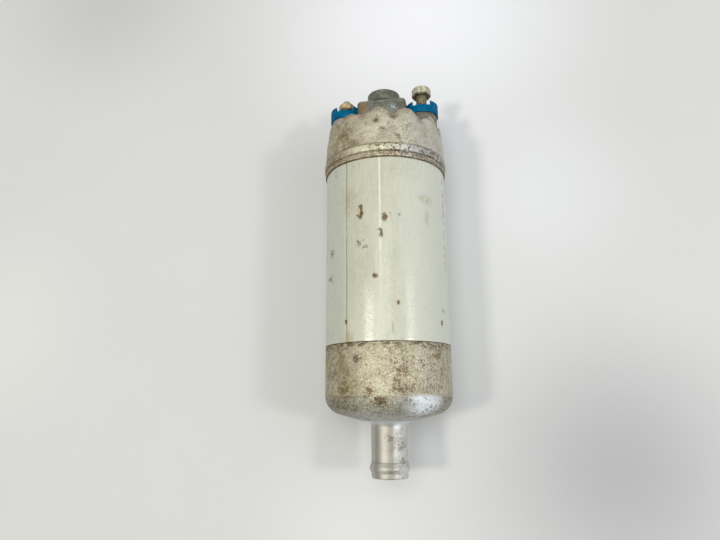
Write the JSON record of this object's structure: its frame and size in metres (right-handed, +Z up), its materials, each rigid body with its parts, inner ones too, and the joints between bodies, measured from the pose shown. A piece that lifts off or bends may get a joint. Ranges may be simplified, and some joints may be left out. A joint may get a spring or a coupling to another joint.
{
  "type": "fuel pump",
  "caption": "In-line electric fuel pump: drawn aluminium can with hose tail, crimped scalloped rim, die-cast outlet cover and two threaded terminals with blue collars.",
  "frame": {"origin": "on the pump's axis, half way along the label, which is the zone that the clamp holds", "axes": "+Y along the pump's axis towards the outlet, +X towards the positive terminal, +Z up as the pump lies in the picture"},
  "size_m": [0.0552, 0.1738, 0.0552],
  "materials": {
    "can_aluminium": "drawn aluminium, dull and stained",
    "label_white": "bare cream-white sleeve with a slight gloss",
    "cover_casting": "rough dark grey die casting",
    "blue_plastic": "satin moulding",
    "zinc_plated_steel": "pale yellow zinc plating",
    "yellow_brass": "dull brass",
    "seal_rubber": "matt",
    "fibre_washer": "matt",
    "ground_steel": "ground",
    "spring_steel": "bright wire",
    "lamination_steel": "oiled laminations",
    "copper": "bright copper",
    "ferrite": "matt ferrite",
    "carbon": "matt carbon",
    "sintered_bronze": "sintered bronze",
    "brown_moulding": "matt moulding",
    "valve_brass": "turned brass"
  },
  "bodies": {
    "pump_body": {"pump_can": "can_aluminium", "label_wrap": "label_white", "outlet_cover": "cover_casting", "positive_collar": "blue_plastic", "negative_collar": "blue_plastic", "positive_stud": "zinc_plated_steel", "positive_washer": "zinc_plated_steel", "negative_stud": "yellow_brass", "negative_washer": "yellow_brass", "cover_seal": "seal_rubber", "positive_under_washer": "fibre_washer", "negative_under_washer": "fibre_washer", "pole_tube": "ground_steel", "port_plate": "ground_steel", "cam_ring": "ground_steel", "outlet_plate": "ground_steel", "pump_screws": "ground_steel", "magnet_clip_top": "ground_steel", "magnet_clip_bottom": "ground_steel", "brush_spring_left": "spring_steel", "brush_spring_right": "spring_steel", "relief_spring": "spring_steel", "check_spring": "spring_steel", "magnet_left": "ferrite", "magnet_right": "ferrite", "upper_bush": "sintered_bronze", "lower_bush": "sintered_bronze", "brush_plate": "brown_moulding", "check_retainer": "valve_brass"},
    "armature": {"motor_shaft": "ground_steel", "armature_core": "lamination_steel", "armature_winding": "copper", "commutator": "copper", "drive_coupling": "brown_moulding", "pump_rotor": "ground_steel", "pump_rollers": "ground_steel"},
    "brush_right": {"brush_right": "carbon"},
    "brush_left": {"brush_left": "carbon"},
    "check_valve": {"check_poppet": "valve_brass"},
    "relief_valve": {"relief_ball": "ground_steel"},
    "positive_nut": {"positive_nut": "zinc_plated_steel"},
    "negative_nut": {"negative_nut": "yellow_brass"}
  },
  "joints": [
    {"name": "armature_spin", "type": "hinge", "parent": "pump_body", "child": "armature", "pos_m": [0, 0, 0], "axis": [0, 1, 0], "continuous": true},
    {"name": "brush_right_slide", "type": "slide", "parent": "pump_body", "child": "brush_right", "axis": [1, 0, 0], "range_m": [0, 0.0018], "stiffness_N_per_m": 200, "springref_m": -0.002, "deforming": ["brush_spring_right"]},
    {"name": "brush_left_slide", "type": "slide", "parent": "pump_body", "child": "brush_left", "axis": [-1, 0, 0], "range_m": [0, 0.0018], "stiffness_N_per_m": 200, "springref_m": -0.002, "deforming": ["brush_spring_left"]},
    {"name": "check_valve_lift", "type": "slide", "parent": "pump_body", "child": "check_valve", "axis": [0, 1, 0], "range_m": [0, 0.002], "stiffness_N_per_m": 150, "springref_m": -0.003, "deforming": ["check_spring"]},
    {"name": "relief_valve_lift", "type": "slide", "parent": "pump_body", "child": "relief_valve", "axis": [0, -1, 0], "range_m": [0, 0.0012], "stiffness_N_per_m": 500, "springref_m": -0.002, "deforming": ["relief_spring"]},
    {"name": "positive_nut_travel", "type": "slide", "parent": "pump_body", "child": "positive_nut", "axis": [0, 1, 0], "range_m": [-0.0065, 0.002]},
    {"name": "negative_nut_travel", "type": "slide", "parent": "pump_body", "child": "negative_nut", "axis": [0, 1, 0], "range_m": [-0.0016, 0.0024]}
  ]
}
